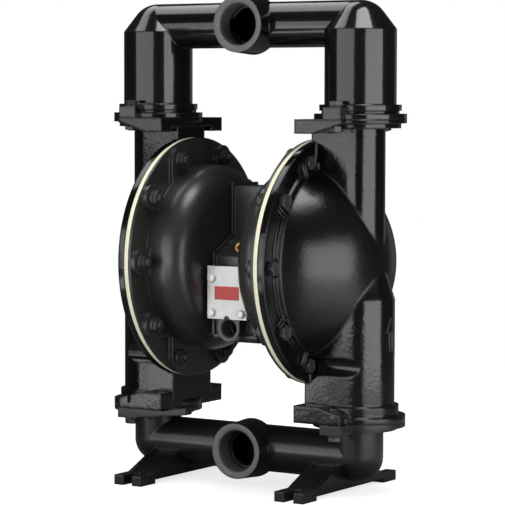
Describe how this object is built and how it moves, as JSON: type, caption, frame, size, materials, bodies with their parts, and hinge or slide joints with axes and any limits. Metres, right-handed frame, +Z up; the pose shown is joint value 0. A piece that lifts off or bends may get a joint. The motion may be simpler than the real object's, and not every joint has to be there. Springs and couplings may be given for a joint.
{
  "type": "air-operated double diaphragm pump",
  "caption": "Air-operated double diaphragm pump: twin domed fluid caps on ball-valve columns, threaded outlet and inlet pipes, central air valve, slotted feet.",
  "frame": {"origin": "on the floor under the middle of the diaphragm rod, in the plane of the two columns", "axes": "+X along the diaphragm rod to the right of someone who faces the ports, -Y the way the ports and the air valve face, +Z up"},
  "size_m": [0.447, 0.3288, 0.664],
  "materials": {
    "black_casting": "gloss black paint over cast iron",
    "gasket": "matt sheet gasket",
    "plate_steel": "plated steel",
    "diaphragm_rubber": "cream moulded elastomer",
    "dark_fasteners": "black steel fasteners",
    "ball_rubber": "smooth moulded elastomer",
    "seat_steel": "machined stainless steel",
    "seal_rubber": "black rubber",
    "bushing_plastic": "off-white bearing plastic",
    "spool_aluminium": "hard anodised",
    "cover_steel": "bright zinc plated",
    "red_label": "plain red plate with no marking",
    "muffler_plastic": "black moulded plastic",
    "rod_steel": "ground steel",
    "plug_brass": "turned brass"
  },
  "bodies": {
    "pump": {"outlet_manifold": "black_casting", "inlet_manifold": "black_casting", "center_body": "black_casting", "fluid_cap_right": "black_casting", "air_cap_right": "black_casting", "body_gasket_right": "gasket", "diaphragm_right": "diaphragm_rubber", "cap_bolts_right": "dark_fasteners", "cap_nuts_right": "dark_fasteners", "body_screws_right": "dark_fasteners", "outlet_seat_right": "seat_steel", "outlet_oring_right": "seal_rubber", "inlet_seat_right": "seat_steel", "inlet_oring_right": "seal_rubber", "fluid_cap_left": "black_casting", "air_cap_left": "black_casting", "body_gasket_left": "gasket", "diaphragm_left": "diaphragm_rubber", "cap_bolts_left": "dark_fasteners", "cap_nuts_left": "dark_fasteners", "body_screws_left": "dark_fasteners", "outlet_seat_left": "seat_steel", "outlet_oring_left": "seal_rubber", "inlet_seat_left": "seat_steel", "inlet_oring_left": "seal_rubber", "valve_gasket": "gasket", "valve_block": "black_casting", "spool_sleeve": "bushing_plastic", "valve_end_plugs": "bushing_plastic", "cover_plate": "cover_steel", "label_plate": "red_label", "cover_screws": "cover_steel", "exhaust_muffler": "muffler_plastic", "outlet_bolts": "dark_fasteners", "outlet_washers": "dark_fasteners", "outlet_nuts": "dark_fasteners", "inlet_bolts": "dark_fasteners", "inlet_washers": "dark_fasteners", "inlet_nuts": "dark_fasteners", "rod_bushings": "bushing_plastic", "rod_seals": "seal_rubber", "pilot_bushings": "bushing_plastic", "brass_plug": "plug_brass"},
    "rod_set": {"connecting_rod": "rod_steel", "rod_nuts": "dark_fasteners", "inner_plate_right": "plate_steel", "outer_plate_right": "plate_steel", "inner_plate_left": "plate_steel", "outer_plate_left": "plate_steel"},
    "spool": {"valve_spool": "spool_aluminium"},
    "pilot": {"pilot_rod": "rod_steel"},
    "outlet_ball_right": {"outlet_ball_right": "ball_rubber"},
    "inlet_ball_right": {"inlet_ball_right": "ball_rubber"},
    "outlet_ball_left": {"outlet_ball_left": "ball_rubber"},
    "inlet_ball_left": {"inlet_ball_left": "ball_rubber"}
  },
  "joints": [
    {"name": "rod_slide", "type": "slide", "parent": "pump", "child": "rod_set", "axis": [1, 0, 0], "range_m": [-0.032, 0.032], "deforming": ["diaphragm_right", "diaphragm_left"]},
    {"name": "spool_slide", "type": "slide", "parent": "pump", "child": "spool", "axis": [1, 0, 0], "range_m": [-0.0045, 0.0045]},
    {"name": "pilot_slide", "type": "slide", "parent": "pump", "child": "pilot", "axis": [1, 0, 0], "range_m": [-0.003, 0.003]},
    {"name": "outlet_ball_lift_right", "type": "slide", "parent": "pump", "child": "outlet_ball_right", "axis": [0, 0, 1], "range_m": [0, 0.012]},
    {"name": "outlet_ball_lift_left", "type": "slide", "parent": "pump", "child": "outlet_ball_left", "axis": [0, 0, 1], "range_m": [0, 0.012]},
    {"name": "inlet_ball_lift_right", "type": "slide", "parent": "pump", "child": "inlet_ball_right", "axis": [0, 0, 1], "range_m": [0, 0.012]},
    {"name": "inlet_ball_lift_left", "type": "slide", "parent": "pump", "child": "inlet_ball_left", "axis": [0, 0, 1], "range_m": [0, 0.012]}
  ]
}
